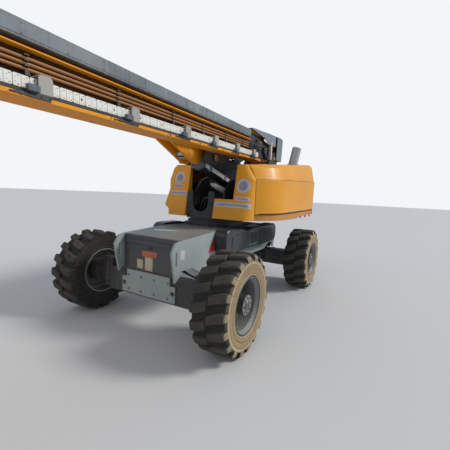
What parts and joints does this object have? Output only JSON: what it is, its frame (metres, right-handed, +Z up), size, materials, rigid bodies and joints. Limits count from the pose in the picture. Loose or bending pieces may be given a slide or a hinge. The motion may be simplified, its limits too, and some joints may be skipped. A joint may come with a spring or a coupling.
{
  "type": "telescopic boom lift",
  "caption": "Four-wheel self-propelled telescopic boom lift: slewing turntable with gull-wing hoods, telescoping boom with cable chain, parallel jib and railed work platform.",
  "frame": {"origin": "on the ground under the middle of the whole stowed machine", "axes": "+X towards the platform, +Y to the machine's left, +Z up"},
  "size_m": [12.6036, 2.49, 2.7862],
  "materials": {
    "tyre": "dusty",
    "rim": "satin",
    "frame_grey": "satin",
    "dark_grey": "satin",
    "axle_grey": "satin",
    "pod_grey": "satin",
    "boom_yellow": "gloss",
    "hood_yellow": "gloss",
    "skirt_yellow": "satin",
    "counterweight": "painted",
    "engine": "matt",
    "tank": "matt",
    "exhaust": "heat stained",
    "cover_grey": "satin",
    "chain": "dusty",
    "guide": "satin",
    "pipe": "zinc plated",
    "clamp": "matt",
    "chrome": "polished",
    "platform_grey": "painted",
    "console": "matt"
  },
  "bodies": {
    "chassis": {"chassis_frame": "frame_grey", "end_covers": "frame_grey", "bumpers": "frame_grey", "front_axle": "axle_grey", "rear_axle": "axle_grey", "side_pods": "pod_grey", "slew_ring": "dark_grey", "steering_cylinder": "axle_grey"},
    "knuckle_left": {"knuckle_left": "axle_grey"},
    "knuckle_right": {"knuckle_right": "axle_grey"},
    "steering_rod": {"steering_rod": "chrome"},
    "wheel_front_left": {"tyre_front_left": "tyre", "rim_front_left": "rim"},
    "wheel_front_right": {"tyre_front_right": "tyre", "rim_front_right": "rim"},
    "wheel_rear_left": {"tyre_rear_left": "tyre", "rim_rear_left": "rim"},
    "wheel_rear_right": {"tyre_rear_right": "tyre", "rim_rear_right": "rim"},
    "turntable": {"turntable_deck": "dark_grey", "skirts": "skirt_yellow", "front_panels": "hood_yellow", "front_guard": "dark_grey", "turret": "dark_grey", "counterweight": "counterweight", "engine_block": "engine", "tanks": "tank", "hood_rails": "dark_grey"},
    "hood_left": {"hood_left": "hood_yellow", "exhaust_stack": "exhaust"},
    "hood_right": {"hood_right": "hood_yellow"},
    "boom": {"boom_base": "boom_yellow", "boom_duct": "cover_grey", "boom_underplates": "dark_grey", "chain_tray": "boom_yellow", "cable_chain": "chain", "chain_guides": "guide", "boom_pipes": "pipe", "pipe_clamps": "clamp", "boom_rear_cover": "cover_grey"},
    "lift_barrel": {"lift_barrel": "dark_grey"},
    "lift_rod": {"lift_rod": "chrome"},
    "boom_mid": {"boom_mid": "boom_yellow"},
    "boom_fly": {"boom_fly": "boom_yellow"},
    "jib_foot": {"jib_foot": "dark_grey"},
    "jib_arm": {"jib_arm": "boom_yellow"},
    "jib_link": {"jib_link": "boom_yellow"},
    "jib_barrel": {"jib_barrel": "dark_grey"},
    "jib_rod": {"jib_rod": "chrome"},
    "platform_support": {"platform_support": "dark_grey"},
    "platform": {"platform_floor": "platform_grey", "platform_rails": "platform_grey", "platform_console": "console"},
    "gate": {"platform_gate": "platform_grey"}
  },
  "joints": [
    {"name": "steer_left", "type": "hinge", "parent": "chassis", "child": "knuckle_left", "pos_m": [-2.86176, 0.78, 0.518], "axis": [0, 0, 1], "range_deg": [-35, 35]},
    {"name": "steer_right", "type": "hinge", "parent": "chassis", "child": "knuckle_right", "pos_m": [-2.86176, -0.78, 0.518], "axis": [0, 0, 1], "range_deg": [-35, 35]},
    {"name": "steering_rod_slide", "type": "slide", "parent": "chassis", "child": "steering_rod", "axis": [0, 1, 0], "range_m": [-0.1035, 0.1035]},
    {"name": "wheel_front_left_spin", "type": "hinge", "parent": "knuckle_left", "child": "wheel_front_left", "pos_m": [-2.86176, 1.0525, 0.518], "axis": [0, 1, 0], "continuous": true},
    {"name": "wheel_front_right_spin", "type": "hinge", "parent": "knuckle_right", "child": "wheel_front_right", "pos_m": [-2.86176, -1.0525, 0.518], "axis": [0, 1, 0], "continuous": true},
    {"name": "wheel_rear_left_spin", "type": "hinge", "parent": "chassis", "child": "wheel_rear_left", "pos_m": [-5.56176, 1.0525, 0.518], "axis": [0, 1, 0], "continuous": true},
    {"name": "wheel_rear_right_spin", "type": "hinge", "parent": "chassis", "child": "wheel_rear_right", "pos_m": [-5.56176, -1.0525, 0.518], "axis": [0, 1, 0], "continuous": true},
    {"name": "slew", "type": "hinge", "parent": "chassis", "child": "turntable", "pos_m": [-4.21176, 0, 1.195], "axis": [0, 0, 1], "continuous": true},
    {"name": "hood_left_hinge", "type": "hinge", "parent": "turntable", "child": "hood_left", "pos_m": [-3.91776, 0.55, 1.967], "axis": [1, 0, 0], "range_deg": [0, 45]},
    {"name": "hood_right_hinge", "type": "hinge", "parent": "turntable", "child": "hood_right", "pos_m": [-3.91776, -0.55, 1.967], "axis": [-1, 0, 0], "range_deg": [0, 45]},
    {"name": "boom_lift", "type": "hinge", "parent": "turntable", "child": "boom", "pos_m": [-5.96176, 0, 2.33], "axis": [0, -1, 0], "range_deg": [0, 75]},
    {"name": "lift_barrel_hinge", "type": "hinge", "parent": "turntable", "child": "lift_barrel", "pos_m": [-5.26176, 0, 1.6], "axis": [0, -1, 0], "range_deg": [0, 71.8]},
    {"name": "lift_rod_slide", "type": "slide", "parent": "lift_barrel", "child": "lift_rod", "axis": [0.9674, 0, 0.2532], "range_m": [0, 1.22379]},
    {"name": "boom_extend", "type": "slide", "parent": "boom", "child": "boom_mid", "axis": [0.9998, 0, -0.0175], "range_m": [0, 6.6]},
    {"name": "boom_extend_fly", "type": "slide", "parent": "boom_mid", "child": "boom_fly", "axis": [0.9998, 0, -0.0175], "range_m": [0, 6.6]},
    {"name": "platform_level", "type": "hinge", "parent": "boom_fly", "child": "jib_foot", "pos_m": [3.11971, 0, 2.33451], "axis": [0, 1, 0], "range_deg": [0, 75]},
    {"name": "jib_lift", "type": "hinge", "parent": "jib_foot", "child": "jib_arm", "pos_m": [3.26971, 0, 2.37451], "axis": [0, -1, 0], "range_deg": [-30, 75]},
    {"name": "jib_link_hinge", "type": "hinge", "parent": "jib_foot", "child": "jib_link", "pos_m": [3.26971, 0, 2.18451], "axis": [0, -1, 0], "range_deg": [-30, 75]},
    {"name": "jib_barrel_hinge", "type": "hinge", "parent": "jib_foot", "child": "jib_barrel", "pos_m": [3.19471, 0, 2.18451], "axis": [0, -1, 0], "range_deg": [-27.65, 69.11]},
    {"name": "jib_rod_slide", "type": "slide", "parent": "jib_barrel", "child": "jib_rod", "axis": [0.8956, 0, -0.4448], "range_m": [-0.09534, 0.23761]},
    {"name": "jib_end_hinge", "type": "hinge", "parent": "jib_arm", "child": "platform_support", "pos_m": [5.00176, 0, 1.37451], "axis": [0, -1, 0], "range_deg": [-75, 30]},
    {"name": "platform_rotation", "type": "hinge", "parent": "platform_support", "child": "platform", "pos_m": [5.19176, 0, 1.37451], "axis": [0, 0, 1], "range_deg": [-90, 90]},
    {"name": "gate_hinge", "type": "hinge", "parent": "platform", "child": "gate", "pos_m": [5.45376, 1.201, 1.36451], "axis": [0, 0, -1], "range_deg": [0, 90]}
  ],
  "couplings": [
    {"joint": "steer_right", "follows": "steer_left", "ratio": 1},
    {"joint": "steering_rod_slide", "follows": "steer_left", "m_per_rad": -0.16861},
    {"joint": "lift_barrel_hinge", "follows": "boom_lift", "ratio": 0.95715},
    {"joint": "lift_rod_slide", "follows": "boom_lift", "m_per_rad": 0.93453},
    {"joint": "platform_level", "follows": "boom_lift", "ratio": 1},
    {"joint": "boom_extend_fly", "follows": "boom_extend", "ratio": 1},
    {"joint": "jib_link_hinge", "follows": "jib_lift", "ratio": 1},
    {"joint": "jib_barrel_hinge", "follows": "jib_lift", "ratio": 0.9214},
    {"joint": "jib_rod_slide", "follows": "jib_lift", "m_per_rad": 0.18114},
    {"joint": "jib_end_hinge", "follows": "jib_lift", "ratio": -1}
  ]
}
